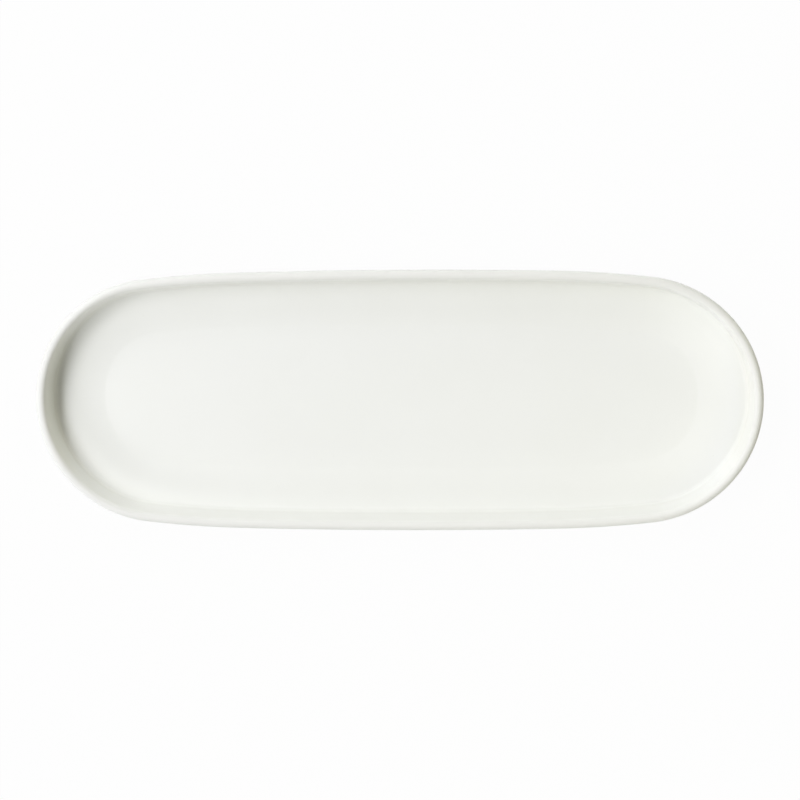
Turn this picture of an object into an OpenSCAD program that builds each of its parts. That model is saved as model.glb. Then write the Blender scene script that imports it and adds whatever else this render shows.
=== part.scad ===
// Long oval porcelain plate for serving asparagus: one fired clay body, a coat of clear glaze
// over it, and a second coat in the hollow of its foot. The foot's edge stays bare.
// Lengths are in millimetres. The origin is the middle of the plate, on the plane that it
// stands on. X runs along the plate, Y across it, and Z points up.

/* [Plan] */
// Length over the rim
plate_l = 360; // [300:5:420]
// Width over the rim
plate_w = 130; // [116:1:150]
// Radius of the four shoulders, each between a long side and a round end
shoulder_r = 500; // [420:10:600]
// Degrees that the outline turns from the middle of a long side to a shoulder
side_turn = 1.35; // [1.1:0.05:1.6]
// Degrees that it turns from the middle of a long side to a round end
end_turn = 6.7; // [6:0.1:7.4]

/* [Rim and wall] */
// Radius of the round rim, which is half the thickness of the wall
rim_r = 2.4; // [2:0.1:2.8]
// Lean of the wall, in degrees from upright
wall_lean = 10; // [6:1:14]
// Radius of the cove at the foot of the inner wall
cove_r = 7.5; // [5:0.5:9]
// Radius of the turn under the outer wall
turn_r = 11; // [8:0.5:12.5]

/* [Well] */
// Depth from the crest of the rim to the flat floor
well_depth = 16.2; // [14:0.2:19]
// Rise of the sloping part, from the flat floor to where it would meet the wall
slope_rise = 2.6; // [1.6:0.1:3.4]
// Distance from the outline to the flat floor, in the middle of a long side
side_inset = 28.6; // [25:0.2:31]
// The same distance at the tip of a round end
end_inset = 31.8; // [28:0.2:34]
// Radius that softens the edge of the flat floor
crease_r = 16; // [8:1:24]

/* [Floor and foot] */
// Thickness of the flat floor with its glaze
floor_t = 4; // [3.4:0.1:5]
// Depth of the hollow inside the foot ring
foot_h = 1.8; // [1.5:0.1:2.6]
// Width of the flat that the foot ring stands on
foot_w = 2.6; // [2:0.1:3.6]
// Lean of the foot ring's sides, in degrees from upright
foot_lean = 20; // [12:1:28]
// Radius where the foot ring grows out of the underside
foot_fillet_r = 0.9; // [0.6:0.1:1]
// Radius of the bare edges of the foot ring
foot_edge_r = 0.5; // [0.3:0.1:0.6]

/* [Glaze] */
// Thickness of both coats of glaze
glaze_t = 0.3; // [0.2:0.05:0.4]
// Height above the table to which the foot ring is wiped bare
bare_h = 0.8; // [0.6:0.05:0.9]

/* [Hidden] */

glaze_colour = [0.955, 0.96, 0.94];
clay_colour = [0.93, 0.915, 0.885];

// How many straight steps stand for each curve of the outline, over a quarter of it
side_steps = 3;
shoulder_steps = 3;
end_steps = 14;
// and for each curve of the section
crease_steps = 1;
cove_steps = 5;
rim_in_steps = 4;
rim_out_steps = 4;
turn_steps = 4;
fillet_steps = 1;
edge_steps = 2;

half_l = plate_l / 2;
half_w = plate_w / 2;
floor_z = foot_h + floor_t;
rim_z = floor_z + well_depth;

// The outline is a long side, a shoulder and a round end to each quarter, three arcs that run
// into each other. The length and the width fix the radii of the first and the last.
along_end = half_l - shoulder_r * (sin(end_turn) - sin(side_turn));
across_end = half_w - shoulder_r * (cos(side_turn) - cos(end_turn));
mix = sin(side_turn) * cos(end_turn) - (1 - sin(end_turn)) * (1 - cos(side_turn));
side_r = (along_end * cos(end_turn) - across_end * (1 - sin(end_turn))) / mix;
end_r = (across_end * sin(side_turn) - along_end * (1 - cos(side_turn))) / mix;

// A point of the first quarter, by the direction of its normal in degrees from Y towards X
function side_point(turn) = [side_r * sin(turn), half_w - side_r * (1 - cos(turn))];
function shoulder_point(turn) =
    side_point(side_turn)
    + shoulder_r * [sin(turn) - sin(side_turn), cos(turn) - cos(side_turn)];
function end_point(turn) = [half_l - end_r * (1 - sin(turn)), end_r * cos(turn)];
function outline_point(turn) =
    turn < side_turn ? side_point(turn)
    : turn < end_turn ? shoulder_point(turn)
    : end_point(turn);

// The flat floor keeps further from the outline at the ends than at the sides
function floor_inset(turn) = side_inset + (end_inset - side_inset) * pow(sin(turn), 2);

function spread(from, to, steps) = [for (i = [0:steps - 1]) from + (to - from) * i / steps];
function reversed(list) = [for (i = [len(list) - 1:-1:0]) list[i]];

out_turns = concat(
    spread(0, side_turn, side_steps),
    spread(side_turn, end_turn, shoulder_steps),
    spread(end_turn, 90, end_steps)
);
back_turns = reversed(concat([for (i = [1:len(out_turns) - 1]) out_turns[i]], [90]));

// A stop of the outline is its point, its normal and the inset of the floor there
function stops(turns, x_side, y_side) = [
    for (turn = turns)
        let (p = outline_point(turn))
        [[x_side * p[0], y_side * p[1]], [x_side * sin(turn), y_side * cos(turn)], floor_inset(turn)]
];
outline = concat(
    stops(out_turns, 1, 1),
    stops(back_turns, 1, -1),
    stops(out_turns, -1, -1),
    stops(back_turns, -1, 1)
);

// The section lies in a plane square to the outline: [inset from the outline, height].
// A station is a point of the section with the normal that leaves the glaze there.
function unit(v) = v / norm(v);
function leaving(way) = [way[1], -way[0]];
function turned(v, angle) = [
    v[0] * cos(angle) - v[1] * sin(angle),
    v[0] * sin(angle) + v[1] * cos(angle)
];
function crossing(p, way_p, q, way_q) = p + way_p * cross(q - p, way_q) / cross(way_p, way_q);
function at_height(p, way, z) = p + way * (z - p[1]) / way[1];

// Stations round the corner at b on the way from a to c, which an arc of radius r rounds off
function rounded(a, b, c, r, steps) =
    let (
        way_in = unit(b - a),
        way_out = unit(c - b),
        turn = atan2(cross(way_in, way_out), way_in * way_out),
        first = leaving(way_in),
        start = b - way_in * r * tan(abs(turn) / 2),
        centre = start - first * sign(turn) * r
    )
    [
        for (i = [0:steps])
            let (normal = turned(first, turn * i / steps))
            [centre + normal * sign(turn) * r, normal]
    ];

wall_way = [sin(wall_lean), -cos(wall_lean)];
wall_face = [cos(wall_lean), sin(wall_lean)];
rim_centre = [rim_r, rim_z - rim_r];
inner_top = rim_centre + rim_r * wall_face;
outer_top = rim_centre - rim_r * wall_face;
cove_corner = at_height(inner_top, wall_way, floor_z + slope_rise);
turn_corner = at_height(outer_top, wall_way, foot_h + slope_rise);

// Degrees of the normal round the rim, from the inner wall over the crest to the outer wall
rim_turns = concat(
    spread(wall_lean, 90, rim_in_steps),
    spread(90, 180, rim_out_steps),
    [180, 180 + wall_lean]
);
rim_stations = [
    for (turn = rim_turns)
        let (normal = [cos(turn), sin(turn)])
        [rim_centre + rim_r * normal, normal]
];

// The ring stands under the edge of the flat floor. Its sides lean in towards the table.
foot_out_way = [sin(foot_lean), -cos(foot_lean)];
foot_in_way = [sin(foot_lean), cos(foot_lean)];
function foot_out(inset) = [inset - foot_w / 2, 0];
function foot_in(inset) = [inset + foot_w / 2, 0];

// From the edge of the flat floor over the rim and down to the bare band, on the glaze
function coat_stations(inset) =
    let (
        floor_edge = [inset, floor_z],
        glazed_foot = foot_out(inset) + leaving(foot_out_way) * glaze_t,
        foot_corner = crossing(
            turn_corner, [inset, foot_h] - turn_corner, glazed_foot, foot_out_way
        ),
        last = at_height(glazed_foot, foot_out_way, bare_h)
    )
    concat(
        rounded(floor_edge + [crease_r, 0], floor_edge, cove_corner, crease_r, crease_steps),
        rounded(floor_edge, cove_corner, inner_top, cove_r, cove_steps),
        rim_stations,
        rounded(outer_top, turn_corner, foot_corner, turn_r, turn_steps),
        rounded(turn_corner, foot_corner, last, foot_fillet_r, fillet_steps),
        [[last, leaving(foot_out_way)]]
    );

// Under the bare foot, on the clay
function foot_stations(inset) =
    let (
        outer = foot_out(inset),
        inner = foot_in(inset)
    )
    concat(
        rounded(outer - foot_out_way * foot_w, outer, inner, foot_edge_r, edge_steps),
        rounded(outer, inner, inner + foot_in_way * foot_w, foot_edge_r, edge_steps)
    );

// From the bare band up the inside of the foot to the ceiling of the hollow, on the glaze
function base_stations(inset) =
    let (
        glazed_foot = foot_in(inset) + leaving(foot_in_way) * glaze_t,
        first = at_height(glazed_foot, foot_in_way, bare_h),
        ceiling_corner = at_height(glazed_foot, foot_in_way, foot_h)
    )
    concat(
        [[first, leaving(foot_in_way)]],
        rounded(first, ceiling_corner, ceiling_corner + [foot_w, 0], foot_fillet_r, fillet_steps)
    );

function on_glaze(stations) = [for (s = stations) s[0]];
function on_clay(stations) = [for (s = stations) s[0] - s[1] * glaze_t];

// Carries a section round the outline, given as a list of its points for each stop, and closes
// its first and last rings with flat faces. The first ring is on top.
module carried(sections, slant) {
    count = len(sections[0]);
    stop_count = len(outline);
    points = [
        for (j = [0:stop_count - 1])
            for (p = sections[j])
                [outline[j][0][0] - outline[j][1][0] * p[0], outline[j][0][1] - outline[j][1][1] * p[0], p[1]]
    ];
    function at(j, k) = (j % stop_count) * count + k;
    bands = [
        for (j = [0:stop_count - 1])
            for (k = [0:count - 2])
                let (a = at(j, k), b = at(j, k + 1), c = at(j + 1, k + 1), d = at(j + 1, k))
                each (slant ? [[a, b, c], [a, c, d]] : [[a, b, d], [b, c, d]])
    ];
    top = [for (j = [0:stop_count - 1]) at(j, 0)];
    bottom = [for (j = [stop_count - 1:-1:0]) at(j, count - 1)];
    polyhedron(points, concat(bands, [top, bottom]), convexity = 6);
}

module porcelain_body() {
    color(clay_colour)
        carried([
            for (stop = outline)
                concat(
                    on_clay(coat_stations(stop[2])),
                    on_glaze(foot_stations(stop[2])),
                    on_clay(base_stations(stop[2]))
                )
        ], true);
}

module glaze_coat() {
    color(glaze_colour)
        carried([
            for (stop = outline)
                let (stations = coat_stations(stop[2]))
                concat(on_glaze(stations), reversed(on_clay(stations)))
        ], false);
}

module base_glaze() {
    color(glaze_colour)
        carried([
            for (stop = outline)
                let (stations = base_stations(stop[2]))
                concat(reversed(on_clay(stations)), on_glaze(stations))
        ], false);
}

porcelain_body();
glaze_coat();
base_glaze();
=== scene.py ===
import math
import bpy
from mathutils import Matrix, Vector


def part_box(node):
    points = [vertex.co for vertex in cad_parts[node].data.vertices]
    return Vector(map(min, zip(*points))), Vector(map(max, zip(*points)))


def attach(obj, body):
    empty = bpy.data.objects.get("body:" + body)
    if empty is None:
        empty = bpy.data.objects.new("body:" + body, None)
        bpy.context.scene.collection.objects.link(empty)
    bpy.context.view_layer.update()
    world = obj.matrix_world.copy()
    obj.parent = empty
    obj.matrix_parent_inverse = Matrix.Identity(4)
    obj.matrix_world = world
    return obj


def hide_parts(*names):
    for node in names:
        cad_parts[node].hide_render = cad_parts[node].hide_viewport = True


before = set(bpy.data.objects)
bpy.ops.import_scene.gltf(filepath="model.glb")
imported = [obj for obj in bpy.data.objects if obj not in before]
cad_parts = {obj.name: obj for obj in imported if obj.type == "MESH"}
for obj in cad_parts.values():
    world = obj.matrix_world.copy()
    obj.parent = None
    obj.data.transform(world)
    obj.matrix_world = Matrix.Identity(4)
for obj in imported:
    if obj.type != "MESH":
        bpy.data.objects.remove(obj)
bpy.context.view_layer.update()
print("frame loaded:", sorted(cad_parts))

mm = 0.001
micron = mm / 1000


# A socket that takes part in a sum, so that maths in a tree is written as maths
class Wire:
    def __init__(self, graph, socket):
        self.graph = graph
        self.socket = socket

    def maths(self, operation, *others):
        return self.graph.maths(operation, self, *others)

    # Another output of the same node
    def also(self, name):
        return Wire(self.graph, self.socket.node.outputs[name])

    def clamped(self):
        return self.graph.maths("MAXIMUM", self.graph.maths("MINIMUM", self, 1), 0)

    # Goes smoothly from 0 at the first value to 1 at the second
    def rising(self, low, high):
        steps = {"Value": self, "From Min": low, "From Max": high}
        return self.graph.node("ShaderNodeMapRange", {"interpolation_type": "SMOOTHSTEP"}, steps)

    def __add__(self, other):
        return self.graph.maths("ADD", self, other)

    def __radd__(self, other):
        return self.graph.maths("ADD", other, self)

    def __sub__(self, other):
        return self.graph.maths("SUBTRACT", self, other)

    def __rsub__(self, other):
        return self.graph.maths("SUBTRACT", other, self)

    def __mul__(self, other):
        return self.graph.maths("MULTIPLY", self, other)

    def __rmul__(self, other):
        return self.graph.maths("MULTIPLY", other, self)

    def __truediv__(self, other):
        return self.graph.maths("DIVIDE", self, other)

    def __rtruediv__(self, other):
        return self.graph.maths("DIVIDE", other, self)

    def __neg__(self):
        return self.graph.maths("MULTIPLY", self, -1)


# A node tree that is being drawn
class Graph:
    def __init__(self, tree):
        self.tree = tree

    def feed(self, socket, value):
        if isinstance(value, Wire):
            self.tree.links.new(value.socket, socket)
        else:
            socket.default_value = value

    # The settings are set first, because some of them change which sockets there are
    def node(self, kind, settings=None, values=None, out=0):
        made = self.tree.nodes.new(kind)
        for name, value in (settings or {}).items():
            setattr(made, name, value)
        for name, value in (values or {}).items():
            self.feed(made.inputs[name], value)
        return Wire(self, made.outputs[out]) if made.outputs else made

    def maths(self, operation, *terms):
        return self.node("ShaderNodeMath", {"operation": operation}, dict(enumerate(terms)))

    # A value that is stored on each corner of the section
    def stored(self, name, kind="FLOAT"):
        return self.node("GeometryNodeInputNamedAttribute", {"data_type": kind}, {"Name": name})

    # A Mix node's colours are its inputs 6 and 7 and its output 2
    def mixed(self, share, a, b):
        return self.node("ShaderNodeMix", {"data_type": "RGBA"}, {0: share, 6: a, 7: b}, 2)


def addObject(name, data):
    made = bpy.data.objects.new(name, data)
    bpy.context.scene.collection.objects.link(made)
    return made


# A material with no nodes yet, and the graph that draws them
def emptyMaterial(name):
    material = bpy.data.materials.new(name)
    material.use_nodes = True
    material.node_tree.nodes.clear()
    return material, Graph(material.node_tree)


# The camera stands almost straight above, a little towards the back and the right-hand end
cameraValues = {
    "distance": 1310 * mm,
    "towardsBack": math.radians(9.74),
    "towardsRight": math.radians(5.73),
    "roll": math.radians(-1.07),
    "lens": 119.71,
    "aim": (2.35 * mm, 0.5 * mm, 19.6 * mm),
    "target": (0, 0, 19.6 * mm),
}


def makeCamera(v):
    data = bpy.data.cameras.new("camera")
    data.lens = v["lens"]
    camera = addObject("camera", data)
    away = Vector((
        math.sin(v["towardsRight"]),
        math.sin(v["towardsBack"]) * math.cos(v["towardsRight"]),
        math.cos(v["towardsBack"]) * math.cos(v["towardsRight"]),
    ))
    place = Vector(v["target"]) + away * v["distance"]
    ahead = (Vector(v["aim"]) - place).normalized()
    level = ahead.cross(Vector((0, 1, 0))).normalized()
    upright = level.cross(ahead)
    across = level * math.cos(v["roll"]) + upright * math.sin(v["roll"])
    up = upright * math.cos(v["roll"]) - level * math.sin(v["roll"])
    turn = Matrix((across, up, -ahead)).transposed()
    camera.matrix_world = Matrix.Translation(place) @ turn.to_4x4()
    bpy.context.scene.camera = camera


makeCamera(cameraValues)
print("camera set")


# Two soft lamps give the light from the left. Weak cards stand round the rest of the plate, and
# those behind it and at its right-hand end are warm. A lamp's level is what a small lamp there
# gives a white sheet that lies flat on the floor. Angles are in degrees and lengths in metres.
# The glaze mirrors the lamp that is marked for it, and otherwise the white room.
lampValues = {
    "lowKey": {
        "azimuth": 150, "elevation": 48, "distance": 2.0, "width": 1.7, "height": 0.4,
        "level": 0.245, "colour": (0.98, 0.985, 1.0), "mirrored": False,
    },
    "highKey": {
        "azimuth": 174, "elevation": 58, "distance": 2.0, "width": 1.7, "height": 0.4,
        "level": 0.354, "colour": (0.98, 0.985, 1.0), "mirrored": False,
    },
    "backLeftCard": {
        "azimuth": 116, "elevation": 30, "distance": 2.0, "width": 0.6, "height": 0.5,
        "level": 0.086, "colour": (0.94, 0.94, 1.0), "mirrored": False,
    },
    "frontLeftCard": {
        "azimuth": 226, "elevation": 30, "distance": 2.0, "width": 1.4, "height": 0.5,
        "level": 0.134, "colour": (0.99, 0.99, 1.0), "mirrored": False,
    },
    "rightCard": {
        "azimuth": 340, "elevation": 40, "distance": 0.7, "width": 0.6, "height": 0.3,
        "level": 0.149, "colour": (1.0, 0.99, 0.79), "mirrored": False,
    },
    "frontCard": {
        "azimuth": 270, "elevation": 15, "distance": 1.4, "width": 1.6, "height": 0.4,
        "level": 0.042, "colour": (1.0, 1.0, 0.95), "mirrored": False,
    },
    "backCard": {
        "azimuth": 68, "elevation": 14, "distance": 1.4, "width": 1.2, "height": 0.4,
        "level": 0.056, "colour": (1.0, 1.0, 0.86), "mirrored": False,
    },
    "window": {
        "azimuth": 140, "elevation": 34, "distance": 2.0, "width": 1.2, "height": 0.8,
        "level": 0.06, "colour": (1.0, 1.0, 1.0), "mirrored": True,
    },
}


def makeLamp(name, v):
    data = bpy.data.lights.new(name, "AREA")
    data.shape = "RECTANGLE"
    data.size = v["width"]
    data.size_y = v["height"]
    data.color = v["colour"]
    azimuth, elevation = math.radians(v["azimuth"]), math.radians(v["elevation"])
    data.energy = v["level"] * math.pi ** 2 * v["distance"] ** 2 / math.sin(elevation)
    lamp = addObject(name, data)
    away = Vector((
        math.cos(azimuth) * math.cos(elevation),
        math.sin(azimuth) * math.cos(elevation),
        math.sin(elevation),
    ))
    lamp.location = away * v["distance"]
    lamp.rotation_euler = (-away).to_track_quat("-Z", "Y").to_euler()
    lamp.visible_camera = False
    lamp.visible_glossy = v["mirrored"]


# The camera and mirrors see plain white round the plate, which adds no light of its own. The
# floor's paint gives back light, and what is left of the white share shows the plate's shadow.
roomValues = {
    "floorSize": 8.0,
    "floorColour": (0.65, 0.65, 0.64),
    "whiteShare": 0.97,
}


# 1 where the camera or a mirror looks straight at something, and 0 where it would give light
def seenDirectly(graph):
    ray = graph.node("ShaderNodeLightPath", out="Is Camera Ray")
    glossy = ray.also("Is Glossy Ray").maths("MAXIMUM", ray.also("Is Transmission Ray"))
    return ray.maths("MAXIMUM", glossy)


def makeWorld():
    world = bpy.data.worlds.new("studio")
    world.use_nodes = True
    world.node_tree.nodes.clear()
    graph = Graph(world.node_tree)
    white = graph.node("ShaderNodeBackground", {}, {"Color": (1, 1, 1, 1), "Strength": seenDirectly(graph)})
    graph.node("ShaderNodeOutputWorld", {}, {"Surface": white})
    bpy.context.scene.world = world


def makeFloor(v):
    half = v["floorSize"] / 2
    mesh = bpy.data.meshes.new("floor")
    corners = [(-half, -half, 0), (half, -half, 0), (half, half, 0), (-half, half, 0)]
    mesh.from_pydata(corners, [], [(0, 1, 2, 3)])
    floor = addObject("floor", mesh)
    material, graph = emptyMaterial("paleFloor")
    paint = graph.node("ShaderNodeBsdfDiffuse", {}, {"Color": (*v["floorColour"], 1)})
    white = graph.node("ShaderNodeEmission", {}, {"Color": (1, 1, 1, 1), "Strength": 1})
    whiteShare = seenDirectly(graph) * v["whiteShare"]
    shown = graph.node("ShaderNodeMixShader", {}, {0: whiteShare, 1: paint, 2: white})
    # The floor is clear from below, so that the foot can be looked at
    under = graph.node("ShaderNodeNewGeometry", out="Backfacing")
    clear = graph.node("ShaderNodeBsdfTransparent")
    both = graph.node("ShaderNodeMixShader", {}, {0: under, 1: shown, 2: clear})
    graph.node("ShaderNodeOutputMaterial", {}, {"Surface": both})
    mesh.materials.append(material)


for lampName, values in lampValues.items():
    makeLamp(lampName, values)
makeWorld()
makeFloor(roomValues)
bpy.context.scene.view_settings.view_transform = "Standard"
print("light and floor made")


# Glossy white glaze. It lies a little unevenly. It is darker grey-green in the cove, partly glaze lying
# thicker there and partly painted shade, and painted shade darkens the cove and wall most at the two ends.
# It is duller on the steep inner wall, darker over the crest of the rim, partly thin glaze and partly
# painted shade, and ends in a toasted line above the bare foot.
glazeValues = {
    "colour": (0.868, 0.874, 0.85),
    "cloudColour": (0.874, 0.88, 0.858),
    # Painted shade in the cove all round, partly glaze that lies thicker there
    "coveGlazeAndShadeColour": (0.86, 0.868, 0.836),
    # Painted shade in the cove and up the wall at the two ends
    "endShadeColour": (0.82, 0.82, 0.765),
    # Painted shade over the lit crest of the rim, partly glaze that runs thin there
    "crestThinGlazeAndShadeColour": (0.835, 0.835, 0.812),
    "lineColour": (0.78, 0.72, 0.61),
    "pinholeColour": (0.62, 0.61, 0.56),
    "cloudWidth": 40 * mm,
    "cloudFrom": 0.35,
    "cloudFull": 0.7,
    "coveGlazeAndShadeLeast": 0.7,
    "coveGlazeAndShadeSpread": 0.6,
    "endShadeAbove": 0.75,
    # Heights above the flat floor
    "coveGlazeAndShadeFrom": 1.6 * mm,
    "coveGlazeAndShadeFull": 3.1 * mm,
    "coveGlazeAndShadeUntil": 7.2 * mm,
    "endShadeUntil": 7.2 * mm,
    "wallFrom": 2.2 * mm,
    "wallFull": 3.2 * mm,
    # Distances from the tip of an end, from the top of the rim, and from the table
    "endShadeNear": 8 * mm,
    "endShadeFar": 22 * mm,
    "crestDepth": 1.4 * mm,
    "lineFull": 0.65 * mm,
    "lineTop": 1.3 * mm,
    # The unevenness of its surface
    "swellWidth": 26 * mm,
    "swellHeight": 14 * micron,
    "rippleWidth": 7 * mm,
    "rippleHeight": 2.5 * micron,
    "pinholeSpacing": 9 * mm,
    "pinholeRadius": 0.24 * mm,
    "pinholeDepth": 30 * micron,
    "roughness": 0.06,
    "dullRoughness": 0.1,
    "dullWidth": 18 * mm,
    "dullFrom": 0.4,
    "dullFull": 0.75,
    "wallRoughness": 0.3,
    "wallSlope": 0.1,
    "ior": 1.5,
}


# Soft random blobs of a given width
def blobs(graph, place, width, detail):
    return graph.node("ShaderNodeTexNoise", {}, {"Vector": place, "Scale": 1 / width, "Detail": detail})


def makeGlaze(v, plate):
    material, graph = emptyMaterial("clearGlaze")
    place = graph.node("ShaderNodeTexCoord", out="Object")
    along = graph.node("ShaderNodeSeparateXYZ", {}, {0: place})
    height = along.also("Z")
    aboveFloor = height - (plate["footHeight"] + plate["floorThickness"])
    belowRim = plate["rimTop"] - height
    fromEnd = plate["halfLength"] - along.maths("ABSOLUTE")

    clouds = blobs(graph, place, v["cloudWidth"], detail=3)
    # Darker in the cove: partly glaze lying thicker there, partly painted shade
    low = aboveFloor.rising(v["coveGlazeAndShadeFrom"], v["coveGlazeAndShadeFull"])
    low = low * (v["coveGlazeAndShadeLeast"] + v["coveGlazeAndShadeSpread"] * clouds)
    coveGlazeAndShade = low * (1 - aboveFloor.rising(v["coveGlazeAndShadeFull"], v["coveGlazeAndShadeUntil"]))
    # Painted shade at the two ends, full in the cove and fading partly up the wall
    paintedEndShade = low * (1 - fromEnd.rising(v["endShadeNear"], v["endShadeFar"]))
    paintedEndShade = paintedEndShade * (1 - (1 - v["endShadeAbove"]) * aboveFloor.rising(v["coveGlazeAndShadeFull"], v["endShadeUntil"]))
    # Darker over the crest of the rim: partly thin glaze, partly painted shade
    crest = 1 - belowRim.rising(0, v["crestDepth"])
    line = 1 - height.rising(v["lineFull"], v["lineTop"])
    cells = {"Vector": place, "Scale": 1 / v["pinholeSpacing"]}
    pit = graph.node("ShaderNodeTexVoronoi", {}, cells, "Distance")
    pit = 1 - pit.rising(0, v["pinholeRadius"] / v["pinholeSpacing"])

    cloudy = clouds.rising(v["cloudFrom"], v["cloudFull"])
    colour = graph.mixed(cloudy, (*v["colour"], 1), (*v["cloudColour"], 1))
    colour = graph.mixed(coveGlazeAndShade, colour, (*v["coveGlazeAndShadeColour"], 1))
    colour = graph.mixed(paintedEndShade, colour, (*v["endShadeColour"], 1))
    colour = graph.mixed(crest, colour, (*v["crestThinGlazeAndShadeColour"], 1))
    colour = graph.mixed(line, colour, (*v["lineColour"], 1))
    colour = graph.mixed(pit, colour, (*v["pinholeColour"], 1))

    swell = blobs(graph, place, v["swellWidth"], detail=1)
    ripple = blobs(graph, place, v["rippleWidth"], detail=2)
    # The relief is in metres, as the bump's distance of 1 is
    relief = swell * v["swellHeight"] + ripple * v["rippleHeight"] - pit * v["pinholeDepth"]
    normal = graph.node("ShaderNodeBump", {}, {"Height": relief, "Distance": 1})
    dull = blobs(graph, place, v["dullWidth"], detail=4).rising(v["dullFrom"], v["dullFull"])
    # The inner wall leans up and the outer wall leans down
    upward = graph.node("ShaderNodeSeparateXYZ", {}, {0: place.also("Normal")}, "Z")
    wall = aboveFloor.rising(v["wallFrom"], v["wallFull"]) * upward.rising(0, v["wallSlope"])
    roughness = v["roughness"] + (v["dullRoughness"] - v["roughness"]) * dull
    roughness = roughness + (v["wallRoughness"] - roughness) * wall * (1 - crest)
    shader = graph.node("ShaderNodeBsdfPrincipled", {}, {
        "Base Color": colour, "Roughness": roughness, "IOR": v["ior"], "Normal": normal,
    })
    graph.node("ShaderNodeOutputMaterial", {}, {"Surface": shader})
    return material


# Dry fired clay, where the foot is wiped bare. It is cream, finely grained, a little stained,
# and rubbed grey where it stands on shelves.
clayValues = {
    "colour": (0.84, 0.82, 0.78),
    "stainColour": (0.79, 0.755, 0.7),
    "rubbedColour": (0.64, 0.63, 0.61),
    "stainWidth": 7 * mm,
    "stainFrom": 0.42,
    "stainFull": 0.72,
    "grainWidth": 0.22 * mm,
    "grainHeight": 14 * micron,
    "grainFrom": 0.5,
    "grainFull": 0.8,
    "grainShare": 0.35,
    "rubWidth": 1.6 * mm,
    "rubTurn": 0.5,
    "rubStretch": (0.25, 1, 1),
    "rubFrom": 0.5,
    "rubFull": 0.66,
    "rubShare": 0.7,
    "rubTop": 0.12 * mm,
    "roughness": 0.78,
    "rubbedRoughness": 0.5,
}


def makeClay(v):
    material, graph = emptyMaterial("barePorcelain")
    place = graph.node("ShaderNodeTexCoord", out="Object")
    height = graph.node("ShaderNodeSeparateXYZ", {}, {0: place}, "Z")

    stains = blobs(graph, place, v["stainWidth"], detail=4).rising(v["stainFrom"], v["stainFull"])
    grain = blobs(graph, place, v["grainWidth"], detail=3)
    streaks = graph.node("ShaderNodeMapping", {}, {
        "Vector": place, "Rotation": (0, 0, v["rubTurn"]), "Scale": v["rubStretch"],
    })
    rubbed = blobs(graph, streaks, v["rubWidth"], detail=3).rising(v["rubFrom"], v["rubFull"])
    rubbed = rubbed * (1 - height.rising(0, v["rubTop"]))
    colour = graph.mixed(stains, (*v["colour"], 1), (*v["stainColour"], 1))
    grainy = grain.rising(v["grainFrom"], v["grainFull"]) * v["grainShare"]
    colour = graph.mixed(grainy, colour, (*v["stainColour"], 1))
    colour = graph.mixed(rubbed * v["rubShare"], colour, (*v["rubbedColour"], 1))
    normal = graph.node("ShaderNodeBump", {}, {"Height": grain * v["grainHeight"], "Distance": 1})
    roughness = v["roughness"] + (v["rubbedRoughness"] - v["roughness"]) * rubbed
    shader = graph.node("ShaderNodeBsdfPrincipled", {}, {
        "Base Color": colour, "Roughness": roughness, "Normal": normal,
    })
    graph.node("ShaderNodeOutputMaterial", {}, {"Surface": shader})
    return material


# The section's own sizes. The plan's length and width, the height, the glaze and the foot's
# height come from the frame. The floor's rings stand at shares of the way in to the middle line,
# and the other shares are of the way from one corner of the section to the next.
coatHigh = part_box("glaze_coat")[1]
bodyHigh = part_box("porcelain_body")[1]
baseLow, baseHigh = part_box("base_glaze")
plateValues = {
    "halfLength": coatHigh.x,
    "halfWidth": coatHigh.y,
    "shoulderRadius": 500 * mm,
    "sideTurn": math.radians(1.35),
    "endTurn": math.radians(6.7),
    "rimTop": coatHigh.z,
    "rimRadius": 2.4 * mm,
    "wallLean": math.radians(10),
    "coveRadius": 3 * mm,  # Tighter than the frame's, for a crisp line at the foot of the wall
    "turnRadius": 11 * mm,
    "slopeRise": 2.6 * mm,
    "sideInset": 28.6 * mm,
    "endInset": 31.8 * mm,
    "creaseRadius": 16 * mm,
    "floorThickness": 4 * mm,
    "footHeight": baseHigh.z - (coatHigh.z - bodyHigh.z),
    "footWidth": 2.6 * mm,
    "footLean": math.radians(20),
    "footFilletRadius": 0.9 * mm,
    "footEdgeRadius": 0.5 * mm,
    "glaze": coatHigh.z - bodyHigh.z,
    "bareHeight": baseLow.z,
    "lipRadius": 0.12 * mm,
    "flatRun": 3 * mm,
    "floorRingShares": (1, 0.75, 0.5, 0.25, 0),
    "slopeShares": (0.1, 0.5, 0.72),
    "innerWallShare": 0.5,
    "outerWallShare": 0.4,
    "undersideShares": (0.4, 0.9),
    "sideSteps": 8,
    "shoulderSteps": 8,
    "endSteps": 56,
    "creaseSteps": 8,
    "coveSteps": 26,
    "rimSteps": 12,
    "turnSteps": 14,
    "footSteps": 6,
    "lipSteps": 4,
    "weldDistance": 2 * micron,
}


# A corner of the section: its inset and height, the radius and steps that round it, how far it
# follows the floor's deeper inset at the ends, and its share of the way in to the middle line
def corner(place, radius=0, steps=0, follow=0, inward=0):
    return {"place": Vector(place), "radius": radius, "steps": steps, "follow": follow, "inward": inward}


# A plain station on the straight stretch from corner a to corner b
def between(a, b, share):
    follow = a["follow"] + (b["follow"] - a["follow"]) * share
    return corner(a["place"].lerp(b["place"], share), follow=follow)


# The point at a given height on a line through a place
def atHeight(place, way, height):
    return place + way * (height - place.y) / way.y


def cross(a, b):
    return a.x * b.y - a.y * b.x


# The point where two lines meet
def meeting(place, way, other, otherWay):
    return place + way * cross(other - place, otherWay) / cross(way, otherWay)


# The direction out of the glaze, for a run of corners that goes one way
def leaving(way):
    return Vector((way.y, -way.x)).normalized()


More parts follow.
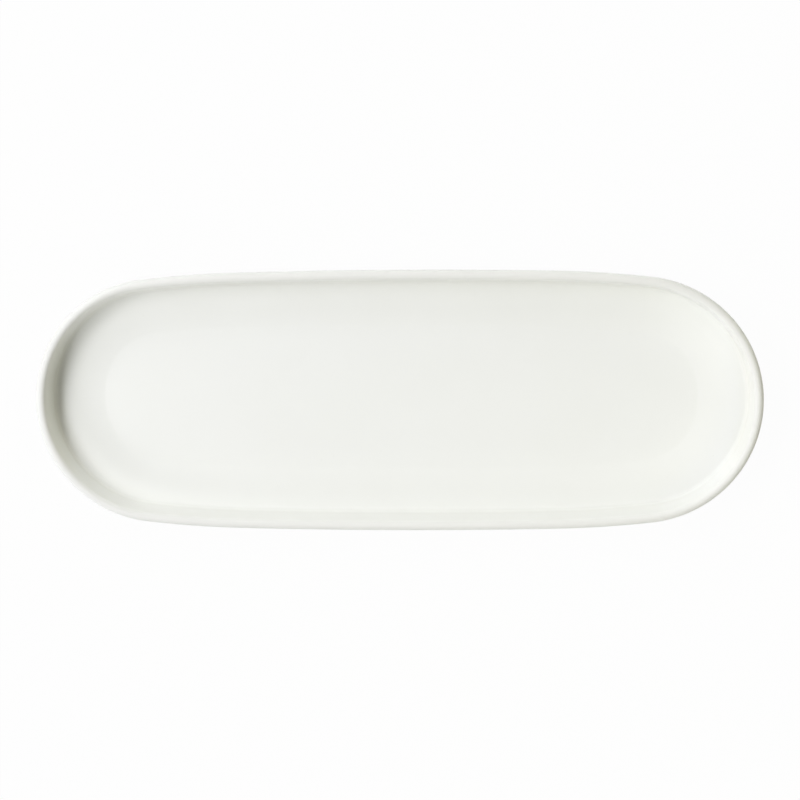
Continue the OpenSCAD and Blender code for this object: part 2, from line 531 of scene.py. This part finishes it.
# The same run of corners one coat of glaze deeper, on the clay
def onClay(corners, glaze):
    deeper = []
    for index, here in enumerate(corners):
        before = corners[max(index - 1, 0)]
        after = corners[min(index + 1, len(corners) - 1)]
        wayIn = here["place"] - before["place"]
        wayOut = after["place"] - here["place"]
        if wayIn.length < micron:
            wayIn = wayOut
        if wayOut.length < micron:
            wayOut = wayIn
        first, second = leaving(wayIn), leaving(wayOut)
        shift = (first + second) * glaze / (1 + first.dot(second))
        radius = here["radius"]
        if radius:
            radius -= glaze * math.copysign(1, cross(wayIn, wayOut))
        deeper.append(corner(here["place"] - shift, radius, here["steps"], here["follow"], here["inward"]))
    return deeper


# Rings of the flat floor, from the middle line out to its edge
def floorRings(edge, v):
    rings = []
    for share in v["floorRingShares"]:
        rings.append(corner(edge + Vector((v["flatRun"] * (1 + share), 0)), follow=1, inward=share))
    return rings


# From the middle of the well over the rim and down to the bare band, on the glaze
def coatCorners(v):
    floor = v["footHeight"] + v["floorThickness"]
    down = Vector((math.sin(v["wallLean"]), -math.cos(v["wallLean"])))
    face = Vector((math.cos(v["wallLean"]), math.sin(v["wallLean"])))
    centre = Vector((v["rimRadius"], v["rimTop"] - v["rimRadius"]))
    innerTop = centre + face * v["rimRadius"]
    outerTop = centre - face * v["rimRadius"]
    footWay = Vector((math.sin(v["footLean"]), -math.cos(v["footLean"])))
    footLine = Vector((v["sideInset"] - v["footWidth"] / 2, 0)) + leaving(footWay) * v["glaze"]
    turnPlace = atHeight(outerTop, down, v["footHeight"] + v["slopeRise"])
    underWay = Vector((v["sideInset"], v["footHeight"])) - turnPlace
    footPlace = meeting(turnPlace, underWay, footLine, footWay)
    edge = corner((v["sideInset"], floor), v["creaseRadius"], v["creaseSteps"], follow=1)
    cove = corner(atHeight(innerTop, down, floor + v["slopeRise"]), v["coveRadius"], v["coveSteps"])
    innerRim = corner(innerTop - down * v["rimRadius"], v["rimRadius"], v["rimSteps"])
    outerRim = corner(outerTop - down * v["rimRadius"], v["rimRadius"], v["rimSteps"])
    turn = corner(turnPlace, v["turnRadius"], v["turnSteps"])
    foot = corner(footPlace, v["footFilletRadius"], v["footSteps"], follow=1)
    lip = corner(atHeight(footLine, footWay, v["bareHeight"]), follow=1)
    return [
        *floorRings(edge["place"], v),
        edge, *[between(edge, cove, share) for share in v["slopeShares"]],
        cove, between(cove, innerRim, v["innerWallShare"]),
        innerRim, outerRim, between(outerRim, turn, v["outerWallShare"]),
        turn, *[between(turn, foot, share) for share in v["undersideShares"]],
        foot, lip,
    ]


# The bare foot itself
def footCorners(v):
    outer = corner((v["sideInset"] - v["footWidth"] / 2, 0), v["footEdgeRadius"], v["footSteps"], follow=1)
    inner = corner((v["sideInset"] + v["footWidth"] / 2, 0), v["footEdgeRadius"], v["footSteps"], follow=1)
    return [outer, inner]


# From the bare band up the inside of the foot to the middle of the hollow, on the glaze
def baseCorners(v):
    way = Vector((math.sin(v["footLean"]), math.cos(v["footLean"])))
    line = Vector((v["sideInset"] + v["footWidth"] / 2, 0)) + leaving(way) * v["glaze"]
    lip = corner(atHeight(line, way, v["bareHeight"]), follow=1)
    ceilingPlace = atHeight(line, way, v["footHeight"])
    ceiling = corner(ceilingPlace, v["footFilletRadius"], v["footSteps"], follow=1)
    return [lip, ceiling, *reversed(floorRings(ceilingPlace, v))]


# The side and end arcs' radii follow from the length and the width
def arcRadii(v):
    a, b, r = v["sideTurn"], v["endTurn"], v["shoulderRadius"]
    along = v["halfLength"] - r * (math.sin(b) - math.sin(a))
    across = v["halfWidth"] - r * (math.cos(a) - math.cos(b))
    mix = math.sin(a) * math.cos(b) - (1 - math.sin(b)) * (1 - math.cos(a))
    side = (along * math.cos(b) - across * (1 - math.sin(b))) / mix
    end = (across * math.sin(a) - along * (1 - math.cos(a))) / mix
    return side, end


# Draws a copy of the section at every stop of the outline, rounds its corners there and
# stretches a grid over the copies
def sweepTree():
    tree = bpy.data.node_groups.new("sweepSection", "GeometryNodeTree")
    inputs = [
        ("Section", "NodeSocketGeometry"), ("Half Width", "NodeSocketFloat"),
        ("Side Radius", "NodeSocketFloat"), ("Shoulder Radius", "NodeSocketFloat"),
        ("End Radius", "NodeSocketFloat"), ("Side Turn", "NodeSocketFloat"),
        ("End Turn", "NodeSocketFloat"), ("End Stretch", "NodeSocketFloat"),
        ("Middle Line", "NodeSocketFloat"), ("Side Steps", "NodeSocketInt"),
        ("Shoulder Steps", "NodeSocketInt"), ("End Steps", "NodeSocketInt"),
        ("Weld Distance", "NodeSocketFloat"), ("Material", "NodeSocketMaterial"),
    ]
    for name, kind in inputs:
        tree.interface.new_socket(name, in_out="INPUT", socket_type=kind)
    tree.interface.new_socket("Plate", in_out="OUTPUT", socket_type="NodeSocketGeometry")
    graph = Graph(tree)
    given = graph.node("NodeGroupInput")
    size = given.also
    quarter = size("Side Steps") + size("Shoulder Steps") + size("End Steps")

    line = graph.node("GeometryNodeMeshToCurve", {}, {"Mesh": given})
    copies = graph.node("GeometryNodeDuplicateElements", {"domain": "SPLINE"}, {
        "Geometry": line, "Amount": quarter * 4 + 1,
    })
    stop = copies.also("Duplicate Index")

    # The outline is three arcs to a quarter. The turn is the way that its normal faces, from the
    # back towards the right-hand end, and it runs up and down again from quarter to quarter.
    step = quarter - (stop.maths("MODULO", quarter * 2) - quarter).maths("ABSOLUTE")
    sideShare = (step / size("Side Steps")).clamped()
    shoulderShare = ((step - size("Side Steps")) / size("Shoulder Steps")).clamped()
    endShare = ((step - size("Side Steps") - size("Shoulder Steps")) / size("End Steps")).clamped()
    onSide = size("Side Turn") * sideShare
    onShoulder = size("Side Turn") + (size("End Turn") - size("Side Turn")) * shoulderShare
    onEnd = size("End Turn") + (math.pi / 2 - size("End Turn")) * endShare
    turn = onSide + (onShoulder - size("Side Turn")) + (onEnd - size("End Turn"))
    along = (
        size("Side Radius") * onSide.maths("SINE")
        + size("Shoulder Radius") * (onShoulder.maths("SINE") - size("Side Turn").maths("SINE"))
        + size("End Radius") * (onEnd.maths("SINE") - size("End Turn").maths("SINE"))
    )
    across = (
        size("Half Width")
        - size("Side Radius") * (1 - onSide.maths("COSINE"))
        - size("Shoulder Radius") * (size("Side Turn").maths("COSINE") - onShoulder.maths("COSINE"))
        - size("End Radius") * (size("End Turn").maths("COSINE") - onEnd.maths("COSINE"))
    )
    bearing = stop / quarter * (math.pi / 2)
    right = bearing.maths("SINE").maths("SIGN")
    back = bearing.maths("COSINE").maths("SIGN")

    # A corner of the section is drawn as (inset, share of the way to the middle line, height)
    drawn = graph.node("ShaderNodeSeparateXYZ", {}, {0: graph.node("GeometryNodeInputPosition")})
    sine, cosine = turn.maths("SINE"), turn.maths("COSINE")
    inset = drawn + graph.stored("follow") * size("End Stretch") * sine * sine
    x = right * (along - sine * inset)
    y = back * (across - cosine * inset)
    # Both floors close on a line along the middle of the plate
    middle = x.maths("MINIMUM", size("Middle Line")).maths("MAXIMUM", -size("Middle Line"))
    inward = drawn.also("Y")
    place = graph.node("ShaderNodeCombineXYZ", {}, {
        0: x + (middle - x) * inward, 1: y * (1 - inward), 2: drawn.also("Z"),
    })
    placed = graph.node("GeometryNodeSetPosition", {}, {"Geometry": copies, "Position": place})
    rounded = graph.node("GeometryNodeFilletCurve", {"mode": "POLY"}, {
        "Curve": placed, "Count": graph.stored("steps", "INT"), "Radius": graph.stored("rounding"),
        "Limit Radius": False,
    })
    points = graph.node(
        "GeometryNodeAttributeDomainSize", {"component": "CURVE"}, {"Geometry": rounded}, "Point Count"
    )
    splines = points.also("Spline Count")
    grid = graph.node("GeometryNodeMeshGrid", {}, {"Vertices X": splines, "Vertices Y": points / splines})
    sample = graph.node("GeometryNodeSampleIndex", {"data_type": "FLOAT_VECTOR", "domain": "POINT"}, {
        "Geometry": rounded,
        "Value": graph.node("GeometryNodeInputPosition"),
        "Index": graph.node("GeometryNodeInputIndex"),
    })
    skin = graph.node("GeometryNodeSetPosition", {}, {"Geometry": grid, "Position": sample})
    closed = graph.node("GeometryNodeMergeByDistance", {}, {
        "Geometry": skin, "Distance": size("Weld Distance"),
    })
    smooth = graph.node("GeometryNodeSetShadeSmooth", {}, {"Geometry": closed})
    real = graph.node("GeometryNodeRealizeInstances", {}, {"Geometry": smooth})
    done = graph.node("GeometryNodeSetMaterial", {}, {"Geometry": real, "Material": size("Material")})
    graph.node("NodeGroupOutput", {}, {0: done})
    return tree


def makePiece(name, corners, tree, material, v):
    mesh = bpy.data.meshes.new(name + "Section")
    points = [(c["place"].x, c["inward"], c["place"].y) for c in corners]
    mesh.from_pydata(points, [(k, k + 1) for k in range(len(points) - 1)], [])
    for key, kind, numbers in (
        ("rounding", "FLOAT", [c["radius"] for c in corners]),
        ("steps", "INT", [c["steps"] for c in corners]),
        ("follow", "FLOAT", [c["follow"] for c in corners]),
    ):
        mesh.attributes.new(key, kind, "POINT").data.foreach_set("value", numbers)
    piece = addObject(name, mesh)
    modifier = piece.modifiers.new("sweep", "NODES")
    modifier.node_group = tree
    sideRadius, endRadius = arcRadii(v)
    values = {
        "Half Width": v["halfWidth"], "Side Radius": sideRadius, "End Radius": endRadius,
        "Shoulder Radius": v["shoulderRadius"], "Side Turn": v["sideTurn"],
        "End Turn": v["endTurn"], "End Stretch": v["endInset"] - v["sideInset"],
        "Middle Line": v["halfLength"] - v["endInset"] - v["halfWidth"] + v["sideInset"],
        "Side Steps": v["sideSteps"], "Shoulder Steps": v["shoulderSteps"],
        "End Steps": v["endSteps"], "Weld Distance": v["weldDistance"], "Material": material,
    }
    for item in tree.interface.items_tree:
        if item.name in values:
            modifier[item.identifier] = values[item.name]
    shown = piece.evaluated_get(bpy.context.evaluated_depsgraph_get())
    swept = bpy.data.meshes.new_from_object(shown)
    piece.modifiers.remove(modifier)
    piece.data = swept
    swept.name = name
    print(name, "has", len(swept.vertices), "points and", len(swept.polygons), "faces")
    return piece


glazeMaterial = makeGlaze(glazeValues, plateValues)
clayMaterial = makeClay(clayValues)
print("glaze and clay made")

# Glaze and clay share the face between them, and the coat's lower lip is rounded
tree = sweepTree()
coat = coatCorners(plateValues)
base = baseCorners(plateValues)
coatClay = onClay(coat, plateValues["glaze"])
baseClay = onClay(base, plateValues["glaze"])
lip = corner(coat[-1]["place"], plateValues["lipRadius"], plateValues["lipSteps"], follow=1)
coatRun = coat[:-1] + [lip] + coatClay[::-1]
baseRun = baseClay[::-1] + base
bodyRun = coatClay + footCorners(plateValues) + baseClay

coatPiece = makePiece("glazeCoat", coatRun, tree, glazeMaterial, plateValues)
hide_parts("glaze_coat")
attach(coatPiece, "root")
basePiece = makePiece("baseGlaze", baseRun, tree, glazeMaterial, plateValues)
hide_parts("base_glaze")
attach(basePiece, "root")
bodyPiece = makePiece("barePorcelain", bodyRun, tree, clayMaterial, plateValues)
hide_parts("porcelain_body")
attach(bodyPiece, "root")
